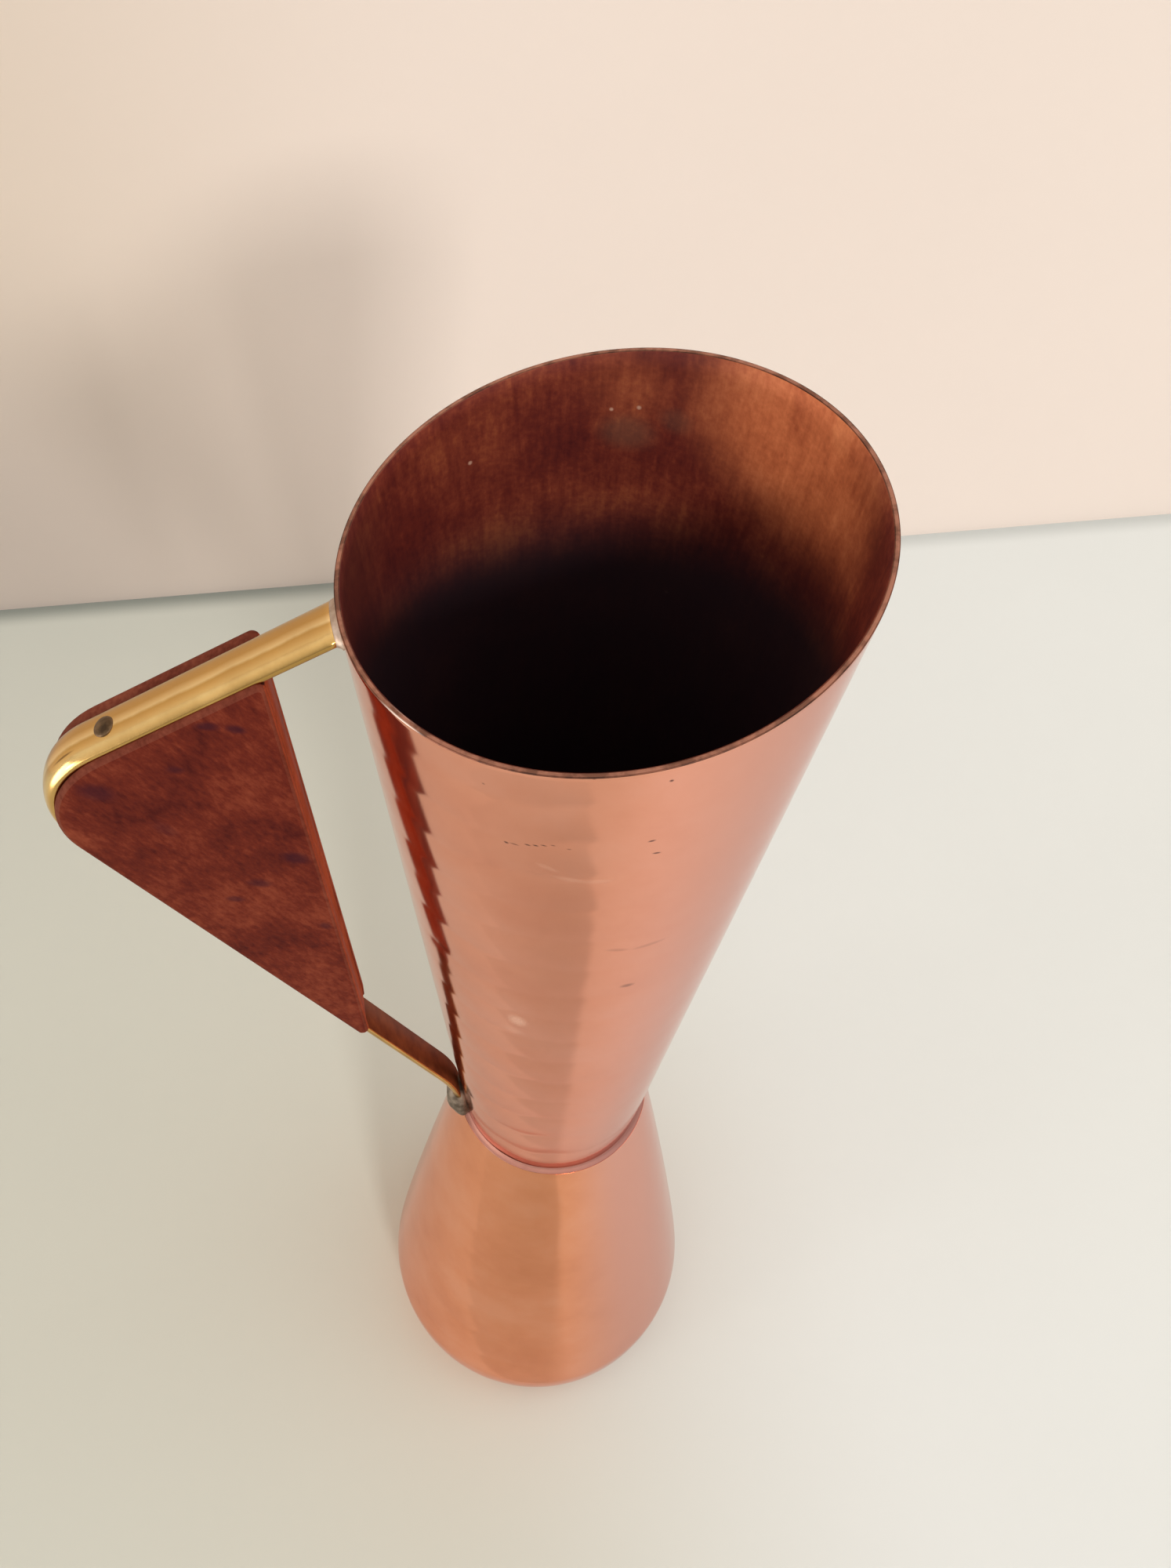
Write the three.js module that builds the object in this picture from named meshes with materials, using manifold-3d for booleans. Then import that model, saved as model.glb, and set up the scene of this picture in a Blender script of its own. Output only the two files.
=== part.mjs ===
// A tall copper vase, shaped like an hourglass, with a slanted mouth and a brass strap handle that holds
// a flat wooden grip. Sizes are in millimetres and +Z is up. The origin is the middle of the foot's
// underside. The handle stands out to -X, in the plane Y = 0.

import * as THREE from "three";
import { mergeVertices } from "three/addons/utils/BufferGeometryUtils.js";
import Module from "manifold-3d";

const wasm = await Module();
wasm.setup();

// Copper body
const sheet = 0.7; // thickness of the copper wall
const mouthRadius = 30; // outside radius where the slanted mouth crosses the axis
const mouthHeight = 253.7; // height of that crossing
const mouthSlant = 11.1; // degrees, low at the handle
const waistRadius = 16.5; // outside of the cone at the seam
const waistHeight = 107.8; // top edge of the lower body
const lapDepth = 5; // how far the cone's end stands down inside the lower body
const seamFillet = 0.8; // height of the solder round the seam
const shoulderFlare = 0.2; // how fast the lower body widens just under the seam
const shoulderLength = 30; // the stretch that keeps that flare
const bellyRadius = 33.1; // widest radius of the lower body
const bellyHeight = 15.3; // height of the widest place
const bellyEase = 4.6; // upright stretch above the widest place
const footRadius = 26.8; // where the wall meets the table
const baseThickness = 0.9; // flat bottom, let into the foot
const baseSolderWidth = 2.2;
const baseSolderHeight = 0.9;

// Brass strap
const strapWidth = 5.1; // from the corner to the waist
const strapRootWidth = 5.9; // at the mouth, where the strap spreads a little
const strapThickness = 1.6; // at the crest of its domed face
const strapEdge = 0.5; // upright side under the dome
const strapDrop = 2.15; // from the lip down to the strap's flat face
const strapFall = 27.3; // degrees below level, going out from the mouth
const cornerReach = 66.9; // from the axis to where the two runs would meet if the corner were sharp
const cornerBend = 11.5; // radius of the flat face round that corner
const landingRise = 11.3; // height above the seam where the strap turns to lie along the wall
const landingBend = 35;

// Wooden grip
const gripThickness = 8.4;
const gripEdgeRound = 1; // rounding of its long edges
const gripCornerCore = 0.2; // what is left of a corner's radius inside that rounding
const gripLetIn = 1.3; // depth of the groove that holds the strap
const fingerGap = 8.8; // from the wall to the grip's upper corner
const gripTipRise = 37.5; // height above the seam of the grip's lower point, before it is rounded

// Pins through the strap into the grip
const pinRadius = 1.1;
const pinDepth = 7; // into the wood, from the strap's flat face
const pinHead = 0.3; // how far the rounded head stands over the crest
const upperPinSetback = 12.8; // along the upper run, from the sharp corner
const lowerPinSetback = 30; // along the lower run, from the grip's lower point

// Solder lumps at the two ends of the strap
const rootSolderReach = 1.6; // out from the wall
const rootSolderDepth = 1.8; // half its height, mostly below the strap
const rootSolderSide = 0.4; // beyond each side of the strap
const landingSolderReach = 2.1; // out from the wall
const landingSolderHalfWidth = 2.4;
const landingSolderHalfLength = 3.6; // up and down the wall

const clearance = 0.3; // between pieces that touch
const roundSteps = 60; // facets round the body
const curveSteps = 5; // facets along a curved outline
const strapStep = 2.2; // length of a facet along the strap
const overlap = 1; // how far a cutting shape runs past what it cuts

const slant = THREE.MathUtils.degToRad(mouthSlant);
const coneTaper = (mouthRadius - waistRadius) / (mouthHeight - waistHeight);
const lapRadius = waistRadius + clearance + sheet;
const point = (x, z) => new THREE.Vector2(x, z);

// Outside radius of the upper cone at a height.
function coneRadius(height) {
  return waistRadius + coneTaper * (height - waistHeight);
}

// A closed three.js geometry as a solid that can be cut and joined.
function solidOf(geometry) {
  geometry.deleteAttribute("normal");
  geometry.deleteAttribute("uv");
  const merged = mergeVertices(geometry, 1e-4);
  return new wasm.Manifold(
    new wasm.Mesh({
      numProp: 3,
      vertProperties: merged.attributes.position.array,
      triVerts: Uint32Array.from(merged.index.array),
    }),
  );
}

function geometryOf(solid) {
  const { vertProperties, triVerts } = solid.getMesh();
  const geometry = new THREE.BufferGeometry();
  geometry.setAttribute("position", new THREE.BufferAttribute(vertProperties, 3));
  geometry.setIndex(new THREE.BufferAttribute(triVerts, 1));
  geometry.computeVertexNormals();
  return geometry;
}

// Turns a closed outline of (radius, height) points, counter-clockwise, about the Z axis.
function turned(outline, steps = roundSteps) {
  const geometry = new THREE.LatheGeometry(outline, steps);
  geometry.rotateX(Math.PI / 2);
  return geometry;
}

function closed(outline) {
  return [...outline, outline[0].clone()];
}

// The closed outline of a wall whose outer face runs up through the given points.
function wallOutline(outer, thickness) {
  const inner = outer.map((here, i) => {
    const before = outer[Math.max(i - 1, 0)];
    const after = outer[Math.min(i + 1, outer.length - 1)];
    const along = after.clone().sub(before).normalize();
    return here.clone().add(point(-along.y, along.x).multiplyScalar(thickness));
  });
  return closed([...outer, ...inner.reverse()]);
}

// A solid of revolution filled in to the axis, for cutting other pieces clear of a wall.
function filled(outer) {
  const top = outer[outer.length - 1];
  return solidOf(turned([point(0, outer[0].y), ...outer, point(0, top.y)]));
}

// Where the line through a, heading along u, meets the line through b, heading along v.
function meeting(a, u, b, v) {
  const share = b.clone().sub(a).cross(v) / u.cross(v);
  return a.clone().addScaledVector(u, share);
}

// Draws the straight run up to a corner, and the arc that rounds it.
function roundCorner(path, before, corner, after, radius) {
  const arriving = corner.clone().sub(before).normalize();
  const leaving = after.clone().sub(corner).normalize();
  const turn = Math.atan2(arriving.cross(leaving), arriving.dot(leaving));
  const setback = radius * Math.tan(Math.abs(turn) / 2);
  const inward = point(-arriving.y, arriving.x).multiplyScalar(radius * Math.sign(turn));
  const centre = corner.clone().addScaledVector(arriving, -setback).add(inward);
  const from = Math.atan2(-inward.y, -inward.x);
  path.lineTo(centre.x + radius * Math.cos(from), centre.y + radius * Math.sin(from));
  path.absarc(centre.x, centre.y, radius, from, from + turn, turn < 0);
}

// Upper cone, rolled from sheet and cut off at a slant

const lipRadius = mouthRadius / (1 + coneTaper * Math.tan(slant)); // of the lip, on the handle's side
const lipHeight = mouthHeight - lipRadius * Math.tan(slant);
const coneEnd = waistHeight - lapDepth;
const blankTop = mouthHeight + mouthRadius;

function coneLine(grow) {
  return [coneEnd - grow, blankTop].map((height) => point(coneRadius(height) + grow, height));
}

function upperCone() {
  const wall = solidOf(turned(wallOutline(coneLine(0), sheet)));
  const side = 4 * mouthRadius;
  const waste = new THREE.BoxGeometry(side, side, side);
  waste.translate(0, 0, side / 2);
  waste.rotateY(-slant);
  waste.translate(0, 0, mouthHeight);
  return wall.subtract(solidOf(waste));
}

// Lower body, from the seam out to the belly and round under to the foot

function footLine() {
  const line = new THREE.Path();
  line.moveTo(lapRadius, waistHeight);
  line.bezierCurveTo(
    lapRadius + shoulderFlare * shoulderLength,
    waistHeight - shoulderLength,
    bellyRadius,
    bellyHeight + bellyEase,
    bellyRadius,
    bellyHeight,
  );
  line.absellipse(footRadius, bellyHeight, bellyRadius - footRadius, bellyHeight, 0, -Math.PI / 2, true);
  return line.getPoints(curveSteps).reverse();
}

function footBody() {
  return solidOf(turned(wallOutline(footLine(), sheet)));
}

function baseDisc() {
  const radius = footRadius - clearance;
  return solidOf(turned([point(0, 0), point(radius, 0), point(radius, baseThickness), point(0, baseThickness)]));
}

function waistSolder() {
  const low = waistHeight + clearance;
  const high = low + seamFillet;
  const outline = [
    point(coneRadius(low) + clearance, low),
    point(lapRadius, low),
    point(coneRadius(high) + clearance, high),
  ];
  return solidOf(turned(closed(outline)));
}

function baseSolder() {
  const low = baseThickness + clearance;
  const outer = footRadius + clearance;
  const outline = [
    point(outer - baseSolderWidth, low),
    point(outer, low),
    point(outer, low + baseSolderHeight),
  ];
  return solidOf(turned(closed(outline)));
}

// The line of the strap's flat face, in the plane Y = 0: out from the lip, round the corner, down to the
// wall above the seam, and along the wall to the strap's end

const fall = THREE.MathUtils.degToRad(strapFall);
const outward = point(-Math.cos(fall), -Math.sin(fall));
const root = point(-lipRadius, lipHeight - strapDrop);
const corner = root.clone().addScaledVector(outward, (cornerReach - lipRadius) / Math.cos(fall));

function onWall(height, gap) {
  return point(-(coneRadius(height) + gap), height);
}

const landing = onWall(waistHeight + landingRise, clearance);
const strapEnd = onWall(waistHeight + seamFillet + 2 * clearance, clearance);
const homeward = landing.clone().sub(corner).normalize();
const upperNormal = point(outward.y, -outward.x);
const lowerNormal = point(homeward.y, -homeward.x);

class StrapLine extends THREE.Curve {
  constructor() {
    super();
    this.line = new THREE.Path();
    const start = root.clone().addScaledVector(outward, -2 * sheet - 2 * clearance);
    this.line.moveTo(start.x, start.y);
    roundCorner(this.line, start, corner, landing, cornerBend);
    roundCorner(this.line, corner, landing, strapEnd, landingBend);
    this.line.lineTo(strapEnd.x, strapEnd.y);
  }

  getPoint(share, target = new THREE.Vector3()) {
    const here = this.line.getPoint(share);
    return target.set(here.x, 0, here.y);
  }
}

// Sweeps a section along the strap's line and spreads it towards the root.
function sweptAlongStrap(section) {
  const line = new StrapLine();
  const steps = Math.round(line.line.getLength() / strapStep);
  const geometry = new THREE.ExtrudeGeometry(section, {
    steps,
    curveSegments: curveSteps,
    extrudePath: line,
  });
  const places = geometry.attributes.position;
  const spread = strapRootWidth / strapWidth - 1;
  for (let i = 0; i < places.count; i += 1) {
    const share = THREE.MathUtils.clamp((places.getZ(i) - corner.y) / (root.y - corner.y), 0, 1);
    places.setY(i, places.getY(i) * (1 + spread * share));
  }
  return solidOf(geometry);
}

// The strap's domed section: x across it, y out from its flat face.
function domedSection(grow) {
  const half = strapWidth / 2 + grow;
  const section = new THREE.Shape();
  section.moveTo(-half, -grow);
  section.lineTo(half, -grow);
  section.absellipse(0, strapEdge, half, strapThickness + grow - strapEdge, 0, Math.PI, false);
  section.closePath();
  return section;
}

function grooveSection() {
  const half = strapWidth / 2 + clearance;
  const section = new THREE.Shape();
  section.moveTo(-half, -clearance);
  section.lineTo(half, -clearance);
  section.lineTo(half, gripLetIn + overlap);
  section.lineTo(-half, gripLetIn + overlap);
  section.closePath();
  return section;
}

// The grip's outline: its two outer edges follow the strap, its inner edge faces the wall

const upperEdge = root.clone().addScaledVector(upperNormal, gripLetIn);
const lowerEdge = landing.clone().addScaledVector(lowerNormal, gripLetIn);
const wallHeading = onWall(mouthHeight, 0).sub(onWall(waistHeight, 0));
const gripTop = meeting(upperEdge, outward, onWall(waistHeight, fingerGap), wallHeading);
const gripCorner = meeting(upperEdge, outward, lowerEdge, homeward);
const gripTip = meeting(lowerEdge, homeward, point(0, waistHeight + gripTipRise), point(1, 0));

function gripOutline() {
  const outline = new THREE.Shape();
  const start = gripTip.clone().lerp(gripTop, 0.5);
  const tight = gripEdgeRound + gripCornerCore;
  outline.moveTo(start.x, start.y);
  roundCorner(outline, gripTip, gripTop, gripCorner, tight);
  roundCorner(outline, gripTop, gripCorner, gripTip, cornerBend + gripLetIn);
  roundCorner(outline, gripCorner, gripTip, gripTop, tight);
  outline.closePath();
  return outline;
}

// Pins, each along the strap's normal: z is measured out from the strap's flat face

const upperPin = {
  place: corner.clone().addScaledVector(outward, -upperPinSetback),
  normal: upperNormal,
};
const lowerPin = {
  place: gripTip.clone().addScaledVector(lowerNormal, -gripLetIn).addScaledVector(homeward, -lowerPinSetback),
  normal: lowerNormal,
};

function stoodOnStrap(geometry, pin) {
  const out = new THREE.Vector3(pin.normal.x, 0, pin.normal.y);
  const across = new THREE.Vector3(0, 1, 0);
  const along = across.clone().cross(out);
  const placing = new THREE.Matrix4().makeBasis(along, across, out);
  placing.setPosition(pin.place.x, 0, pin.place.y);
  geometry.applyMatrix4(placing);
  return solidOf(geometry);
}

const pinSteps = 16;

function pinSolid(pin) {
  const shoulder = strapThickness - pinHead;
  const profile = new THREE.Path();
  profile.moveTo(0, -pinDepth);
  profile.lineTo(pinRadius, -pinDepth);
  profile.lineTo(pinRadius, shoulder);
  profile.absellipse(0, shoulder, pinRadius, 2 * pinHead, 0, Math.PI / 2, false);
  return stoodOnStrap(turned(profile.getPoints(2), pinSteps), pin);
}

function pinHole(pin) {
  const radius = pinRadius + clearance;
  const low = -pinDepth - clearance;
  const high = strapThickness + overlap;
  return stoodOnStrap(turned([point(0, low), point(radius, low), point(radius, high), point(0, high)], pinSteps), pin);
}

function handleStrap() {
  return sweptAlongStrap(domedSection(0))
    .subtract(filled(coneLine(clearance)))
    .subtract(pinHole(upperPin))
    .subtract(pinHole(lowerPin));
}

function woodGrip() {
  const block = new THREE.ExtrudeGeometry(gripOutline(), {
    depth: gripThickness - 2 * gripEdgeRound,
    curveSegments: curveSteps,
    bevelThickness: gripEdgeRound,
    bevelSize: gripEdgeRound,
    bevelOffset: -gripEdgeRound,
    bevelSegments: 3,
  });
  block.rotateX(Math.PI / 2);
  block.translate(0, gripThickness / 2 - gripEdgeRound, 0);
  return solidOf(block)
    .subtract(sweptAlongStrap(grooveSection()))
    .subtract(pinHole(upperPin))
    .subtract(pinHole(lowerPin));
}

// Solder lumps, cut clear of what they join

function lump(centre, reach, halfWidth, halfHeight) {
  const geometry = new THREE.SphereGeometry(1, 16, 10);
  geometry.rotateX(Math.PI / 2);
  geometry.scale(reach, halfWidth, halfHeight);
  geometry.translate(centre.x, 0, centre.y);
  return solidOf(geometry);
}

function solderUpper() {
  const halfWidth = strapRootWidth / 2 + clearance + rootSolderSide;
  const centre = root.clone().add(point(0, -rootSolderDepth / 2));
  return lump(centre, rootSolderReach, halfWidth, rootSolderDepth)
    .subtract(filled(coneLine(clearance)))
    .subtract(sweptAlongStrap(domedSection(clearance)));
}

// The lower lump fills the corner under the strap's end, over the seam.
function solderLower() {
  const seam = [coneEnd, strapEnd.y].map((height) => point(lapRadius + clearance, height));
  const foot = footLine().map((here) => here.add(point(clearance, clearance)));
  const top = strapEnd.y - coneTaper * strapThickness - clearance;
  const above = [top, top + 2 * landingSolderHalfLength].map((height) => point(cornerReach, height));
  const centre = point(-lapRadius, waistHeight);
  return lump(centre, landingSolderReach, landingSolderHalfWidth, landingSolderHalfLength)
    .subtract(filled(seam))
    .subtract(filled(foot))
    .subtract(filled(above));
}

const finishes = {
  copper: { color: 0xc68463, roughness: 0.32, metalness: 1 },
  brass: { color: 0xc2934c, roughness: 0.28, metalness: 1 },
  wood: { color: 0x5c2619, roughness: 0.5, metalness: 0 },
  solder: { color: 0x8b8779, roughness: 0.55, metalness: 1 },
  pin: { color: 0x5f4a35, roughness: 0.5, metalness: 1 },
};

const vase = new THREE.Group();

function addPiece(name, solid, finish) {
  const piece = new THREE.Mesh(geometryOf(solid), new THREE.MeshStandardMaterial(finishes[finish]));
  piece.name = name;
  vase.add(piece);
}

addPiece("upper_cone", upperCone(), "copper");
addPiece("foot_body", footBody(), "copper");
addPiece("base_disc", baseDisc(), "copper");
addPiece("waist_solder", waistSolder(), "solder");
addPiece("base_solder", baseSolder(), "solder");
addPiece("handle_strap", handleStrap(), "brass");
addPiece("wood_grip", woodGrip(), "wood");
addPiece("grip_pin_upper", pinSolid(upperPin), "pin");
addPiece("grip_pin_lower", pinSolid(lowerPin), "pin");
addPiece("solder_upper", solderUpper(), "solder");
addPiece("solder_lower", solderLower(), "solder");

export default vase;
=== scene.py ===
# A tall hourglass vase of copper sheet, with a slanted mouth and a side handle of brass strap and dark wood.
# It stands on a pale table in front of a pale wall. The vase's sizes are written in millimetres, and mm turns
# them to metres. +Z is up, the vase's axis is the Z axis and the handle stands out to -X.
import bisect
import math
import random

import bmesh
import bpy
from mathutils import Matrix, Vector, noise


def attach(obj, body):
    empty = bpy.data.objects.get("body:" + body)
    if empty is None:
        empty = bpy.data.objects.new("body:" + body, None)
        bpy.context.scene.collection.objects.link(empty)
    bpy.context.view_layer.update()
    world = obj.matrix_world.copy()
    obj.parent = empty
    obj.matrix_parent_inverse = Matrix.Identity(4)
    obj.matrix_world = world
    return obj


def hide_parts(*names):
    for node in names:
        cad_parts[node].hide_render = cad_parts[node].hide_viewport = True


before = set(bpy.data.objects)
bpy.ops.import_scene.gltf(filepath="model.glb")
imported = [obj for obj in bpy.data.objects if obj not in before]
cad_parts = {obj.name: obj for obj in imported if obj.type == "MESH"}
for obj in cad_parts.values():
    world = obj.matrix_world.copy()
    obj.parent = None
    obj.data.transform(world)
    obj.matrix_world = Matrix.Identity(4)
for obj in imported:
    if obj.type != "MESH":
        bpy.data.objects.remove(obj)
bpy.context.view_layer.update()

# Table, wall and lamps
# The vase stands on a pale painted table, a hand's length in front of a pale wall. One soft lamp in front,
# a little to the right, throws the vase's shadow on the wall, and three weaker ones stand at its sides.
mm = 0.001


def add_node(tree, kind, inputs=None, **settings):
    """A shader node with its settings made, and its inputs linked or set."""
    made = tree.nodes.new(kind)
    for name, value in settings.items():
        setattr(made, name, value)
    for name, value in (inputs or {}).items():
        if isinstance(value, bpy.types.NodeSocket):
            tree.links.new(value, made.inputs[name])
        else:
            made.inputs[name].default_value = value
    return made


def ranged(tree, value, start, end, least=0, most=1, soft=True):
    """Goes from least to most, softly or in a straight line, while the value goes from start to end."""
    inputs = {0: value, "From Min": start, "From Max": end, "To Min": least, "To Max": most}
    kind = "SMOOTHSTEP" if soft else "LINEAR"
    return add_node(tree, "ShaderNodeMapRange", inputs, interpolation_type=kind).outputs[0]


def bumped(tree, height, strength, depth):
    """The surface's normal with a relief on it, its depth in millimetres."""
    inputs = {"Height": height, "Strength": strength, "Distance": depth * mm}
    return add_node(tree, "ShaderNodeBump", inputs).outputs[0]


def new_material(name):
    """An empty material: its node tree and the output that its shader goes to."""
    material = bpy.data.materials.new(name)
    material.use_nodes = True
    material.node_tree.nodes.clear()
    return material, material.node_tree, material.node_tree.nodes.new("ShaderNodeOutputMaterial")


def grey_to_colour(tree, value, stops):
    """A colour ramp: stops are (position, colour) from low to high."""
    ramp = add_node(tree, "ShaderNodeValToRGB", {"Fac": value})
    while len(ramp.color_ramp.elements) < len(stops):
        ramp.color_ramp.elements.new(1)
    for element, (position, colour) in zip(ramp.color_ramp.elements, stops):
        element.position = position
        element.color = (*colour, 1)
    return ramp.outputs["Color"]


def finished(name, bm, materials, smooth=True):
    """Turns a bmesh into an object at the origin, with its materials."""
    mesh = bpy.data.meshes.new(name)
    bm.to_mesh(mesh)
    bm.free()
    for material in materials:
        mesh.materials.append(material)
    mesh.polygons.foreach_set("use_smooth", [smooth] * len(mesh.polygons))
    made = bpy.data.objects.new(name, mesh)
    bpy.context.collection.objects.link(made)
    return made


def new_group(name, inputs, output):
    """An empty node group: its tree, its input node, and a call that ends it with one output."""
    tree = bpy.data.node_groups.new(name, "ShaderNodeTree")
    for socket, kind, value in inputs:
        made = tree.interface.new_socket(name=socket, in_out="INPUT", socket_type=kind)
        if value is not None:
            made.default_value = value
    tree.interface.new_socket(name=output, in_out="OUTPUT", socket_type="NodeSocketFloat")
    return tree, tree.nodes.new("NodeGroupInput"), tree.nodes.new("NodeGroupOutput")


# Cloudy mottle from 0 to 1, as in tarnish and in wood: how far it swings is set by its contrast.
mottle, given, result = new_group(
    "mottle",
    [
        ("Vector", "NodeSocketVector", None),
        ("Scale", "NodeSocketFloat", 50),
        ("Contrast", "NodeSocketFloat", 2),
    ],
    "Mask",
)
cloud = add_node(
    mottle,
    "ShaderNodeTexNoise",
    {"Vector": given.outputs[0], "Scale": given.outputs[1], "Detail": 5, "Roughness": 0.62},
)
centred = add_node(mottle, "ShaderNodeMath", {0: cloud.outputs["Fac"], 1: 0.5}, operation="SUBTRACT")
swung = add_node(
    mottle,
    "ShaderNodeMath",
    {0: centred.outputs[0], 1: given.outputs[2], 2: 0.5},
    operation="MULTIPLY_ADD",
    use_clamp=True,
)
mottle.links.new(swung.outputs[0], result.inputs[0])

# One small mark with a soft edge, such as a pit, a smudge or a knot: 1 in its middle and 0 round it.
mark, given, result = new_group(
    "mark",
    [
        ("Vector", "NodeSocketVector", None),
        ("Centre", "NodeSocketVector", None),
        ("Turn", "NodeSocketVector", None),
        ("Half Size", "NodeSocketVector", (0.001, 0.001, 0.001)),
        ("Strength", "NodeSocketFloat", 1),
    ],
    "Mask",
)
local = add_node(
    mark,
    "ShaderNodeMapping",
    {0: given.outputs[0], 1: given.outputs[1], 2: given.outputs[2], 3: given.outputs[3]},
    vector_type="TEXTURE",
)
reach = add_node(mark, "ShaderNodeVectorMath", {0: local.outputs[0]}, operation="LENGTH")
within = ranged(mark, reach.outputs["Value"], 1, 0.25, most=given.outputs[4])
mark.links.new(within, result.inputs[0])


def clouded(tree, place, scale, contrast):
    """Cloudy mottle over a surface, as a mask."""
    inputs = {"Vector": place, "Scale": scale, "Contrast": contrast}
    return add_node(tree, "ShaderNodeGroup", inputs, node_tree=mottle).outputs[0]


def marked(tree, place, marks):
    """All of the marks in one mask. Each is its centre, its turn in degrees, its half sizes and its
    strength, with lengths in millimetres."""
    mask = None
    for centre, turn, half, strength in marks:
        one = add_node(
            tree,
            "ShaderNodeGroup",
            {
                "Vector": place,
                "Centre": Vector(centre) * mm,
                "Turn": [math.radians(angle) for angle in turn],
                "Half Size": Vector(half) * mm,
                "Strength": strength,
            },
            node_tree=mark,
        ).outputs[0]
        if mask is not None:
            one = add_node(tree, "ShaderNodeMath", {0: mask, 1: one}, operation="MAXIMUM").outputs[0]
        mask = one
    return mask


def mixed(tree, mask, below, above):
    """One colour over another, where the mask is 1. Either may be plain or linked."""
    below, above = [(*c, 1) if isinstance(c, tuple) and len(c) == 3 else c for c in (below, above)]
    return add_node(tree, "ShaderNodeMix", {"Factor": mask, 6: below, 7: above}, data_type="RGBA").outputs[2]


def paint_with_painted_light(name, left, right, start, end, shade=None, shaded=(0, 0, 0), shade_patch=None, one_sided=False):
    """Flat paint with a faint mottle, going over from one colour to another between two places along X; the
    going-over is painted light. A shade takes a call that makes its mask, and a shade patch takes marks: both
    are painted shade in the shaded colour. A one-sided sheet isn't there when it is seen from behind."""
    material, tree, output = new_material(name)
    place = add_node(tree, "ShaderNodeTexCoord").outputs["Object"]
    x = add_node(tree, "ShaderNodeSeparateXYZ", {0: place}).outputs[0]
    # Painted light: the colour goes over from darker at the left to lighter at the right, as from a lamp at
    # the right.
    tone = grey_to_colour(tree, ranged(tree, x, start, end), [(0, left), (1, right)])
    if shade_patch:
        tone = mixed(tree, marked(tree, place, shade_patch), tone, shaded)
    if shade:
        tone = mixed(tree, shade(tree, place), tone, shaded)
    uneven = ranged(tree, clouded(tree, place, 9, 1), 0, 1, 0.97, 1.01, soft=False)
    tone = add_node(tree, "ShaderNodeVectorMath", {0: tone, "Scale": uneven}, operation="SCALE")
    paint = add_node(tree, "ShaderNodeBsdfDiffuse", {"Color": tone.outputs[0]}).outputs[0]
    if one_sided:
        back = add_node(tree, "ShaderNodeNewGeometry").outputs["Backfacing"]
        clear = add_node(tree, "ShaderNodeBsdfTransparent").outputs[0]
        paint = add_node(tree, "ShaderNodeMixShader", {0: back, 1: paint, 2: clear}).outputs[0]
    tree.links.new(paint, output.inputs["Surface"])
    return material


wall_distance = 229 * mm
wall_turn = math.radians(-2.1)
wall_foot_shade_width = 8 * mm


def wall_foot_painted_shade(tree, place):
    """Painted shade: the dark line where the table meets the wall, strongest at the left."""
    lean = -math.tan(wall_turn)
    reach = add_node(tree, "ShaderNodeVectorMath", {0: place, 1: (lean, 1, 0)}, operation="DOT_PRODUCT")
    near = ranged(tree, reach.outputs["Value"], wall_distance - wall_foot_shade_width, wall_distance)
    x = add_node(tree, "ShaderNodeSeparateXYZ", {0: place}).outputs[0]
    darkest = ranged(tree, x, -0.06, 0.1, 0.75, 0.3, soft=False)
    return add_node(tree, "ShaderNodeMath", {0: near, 1: darkest}, operation="MULTIPLY").outputs[0]


# The table is painted darker to the left and along the foot of the wall: painted light and painted shade.
table_paint = paint_with_painted_light(
    "table_paint",
    left=(0.6, 0.615, 0.55),
    right=(0.735, 0.765, 0.75),
    start=-0.04,
    end=0.09,
    shade=wall_foot_painted_shade,
    shaded=(0.16, 0.18, 0.16),
)
bm = bmesh.new()
bmesh.ops.create_circle(bm, cap_ends=True, segments=64, radius=3)
table = finished("table", bm, [table_paint], smooth=False)

# Painted shade on the wall: darker to the left, and darker still in a broad patch low at the left.
painted_wall_shade = [((-172, 232, 20), (0, 0, 0), (190, 300, 150), 0.62)]
wall_paint = paint_with_painted_light(
    "wall_paint",
    left=(0.74, 0.63, 0.53),
    right=(0.87, 0.76, 0.69),
    start=-0.14,
    end=0.03,
    shade_patch=painted_wall_shade,
    shaded=(0.44, 0.385, 0.36),
    one_sided=True,
)
wall_half = 1.5
bm = bmesh.new()
bmesh.ops.create_grid(bm, x_segments=1, y_segments=1, size=wall_half)
bmesh.ops.rotate(bm, verts=bm.verts, cent=(0, 0, 0), matrix=Matrix.Rotation(math.radians(90), 3, "X"))
bmesh.ops.translate(bm, verts=bm.verts, vec=(0, wall_distance, wall_half))
bmesh.ops.rotate(bm, verts=bm.verts, cent=(0, 0, 0), matrix=Matrix.Rotation(wall_turn, 3, "Z"))
wall = finished("wall", bm, [wall_paint], smooth=False)

# A camera-hidden sheet on the table in front, reaching up to the foot, is a painted shadow: it is seen only
# in the copper, as a soft dark bar with one clear side, and stands in for shade on the table in front. It
# fades out to the left and away from the vase.
slant_start = -0.1
slant_slope = 0.8
shade_card_strength = 0.26
material, tree, output = new_material("painted_shade_card")
place = add_node(tree, "ShaderNodeTexCoord").outputs["Object"]
x, y = add_node(tree, "ShaderNodeSeparateXYZ", {0: place}).outputs[:2]
forward = add_node(tree, "ShaderNodeMath", {0: slant_start, 1: y}, operation="SUBTRACT").outputs[0]
forward = add_node(tree, "ShaderNodeMath", {0: forward, 1: 0}, operation="MAXIMUM").outputs[0]
edge = add_node(
    tree, "ShaderNodeMath", {0: forward, 1: slant_slope, 2: x}, operation="MULTIPLY_ADD"
).outputs[0]
fades = [(x, -0.13, -0.02, 0.4), (edge, 0.006, -0.005, 0), (y, -0.15, -0.1, 0.28), (y, -0.03, -0.09, 0.55)]
strength = shade_card_strength
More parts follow.
